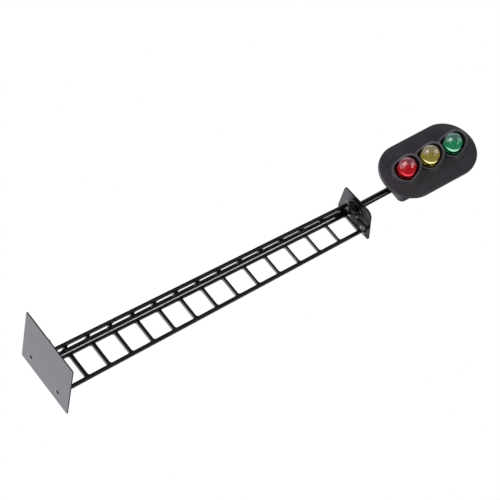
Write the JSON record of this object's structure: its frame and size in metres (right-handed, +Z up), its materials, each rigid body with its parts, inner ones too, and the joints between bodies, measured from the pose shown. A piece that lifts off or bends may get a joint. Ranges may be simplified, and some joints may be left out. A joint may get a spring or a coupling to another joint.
{
  "type": "model signal mast",
  "caption": "Lattice signal mast on a thin base plate, with a platform and an oblong hooded lamp head that swivels on a thin tube neck.",
  "frame": {"origin": "centre of the underside of the rectangular base plate (its small front tab left out)", "axes": "+Z up the mast, the lamps face -Y, +X to the right of a viewer who looks at the lamps"},
  "size_m": [0.0132, 0.015, 0.0827],
  "materials": {
    "base_plate": "thick glossy black enamel over thin metal",
    "chip_resistor": "black ceramic chip",
    "common_wire": "enamelled copper wire",
    "corner_solder_seam": "gloss black paint over a solder bead",
    "foot_solder_corner": "gloss black paint over a solder bead",
    "foot_solder_front_rail": "gloss black paint over a solder bead",
    "foot_solder_side_rail": "gloss black paint over a solder bead",
    "front_ladder": "thick glossy black enamel over thin metal",
    "green_anode_lead": "tinned",
    "green_cathode_lead": "tinned",
    "green_lens": "tinted clear epoxy, polished",
    "green_wire": "enamelled copper wire",
    "lamp_board": "glass-fibre circuit board, green mask",
    "neck_bush": "turned, thinly painted",
    "neck_tube": "thick glossy black enamel over thin metal",
    "platform_plate": "thick glossy black enamel over thin metal",
    "rear_casing": "moulded matt black",
    "red_anode_lead": "tinned",
    "red_cathode_lead": "tinned",
    "red_lens": "tinted clear epoxy, polished",
    "red_wire": "enamelled copper wire",
    "side_ladder": "thick glossy black enamel over thin metal",
    "signal_face": "moulded matt black",
    "top_solder_corner": "gloss black paint over a solder bead",
    "top_solder_front_rail": "gloss black paint over a solder bead",
    "top_solder_side_rail": "gloss black paint over a solder bead",
    "tube_lock_ring": "thick glossy black enamel over thin metal",
    "yellow_anode_lead": "tinned",
    "yellow_cathode_lead": "tinned",
    "yellow_lens": "tinted clear epoxy, polished",
    "yellow_wire": "enamelled copper wire"
  },
  "bodies": {
    "mast": {"base_plate": "base_plate", "corner_solder_seam": "corner_solder_seam", "foot_solder_corner": "foot_solder_corner", "foot_solder_front_rail": "foot_solder_front_rail", "foot_solder_side_rail": "foot_solder_side_rail", "front_ladder": "front_ladder", "neck_bush": "neck_bush", "platform_plate": "platform_plate", "side_ladder": "side_ladder", "top_solder_corner": "top_solder_corner", "top_solder_front_rail": "top_solder_front_rail", "top_solder_side_rail": "top_solder_side_rail"},
    "head": {"chip_resistor": "chip_resistor", "common_wire": "common_wire", "green_anode_lead": "green_anode_lead", "green_cathode_lead": "green_cathode_lead", "green_lens": "green_lens", "green_wire": "green_wire", "lamp_board": "lamp_board", "neck_tube": "neck_tube", "rear_casing": "rear_casing", "red_anode_lead": "red_anode_lead", "red_cathode_lead": "red_cathode_lead", "red_lens": "red_lens", "red_wire": "red_wire", "signal_face": "signal_face", "tube_lock_ring": "tube_lock_ring", "yellow_anode_lead": "yellow_anode_lead", "yellow_cathode_lead": "yellow_cathode_lead", "yellow_lens": "yellow_lens", "yellow_wire": "yellow_wire"}
  },
  "joints": [
    {"name": "head_swivel", "type": "hinge", "parent": "mast", "child": "head", "pos_m": [0.00143, -0.00193, 0.05915], "axis": [-0.019, -0.0023, 0.9998], "range_deg": [-97, 83]}
  ]
}
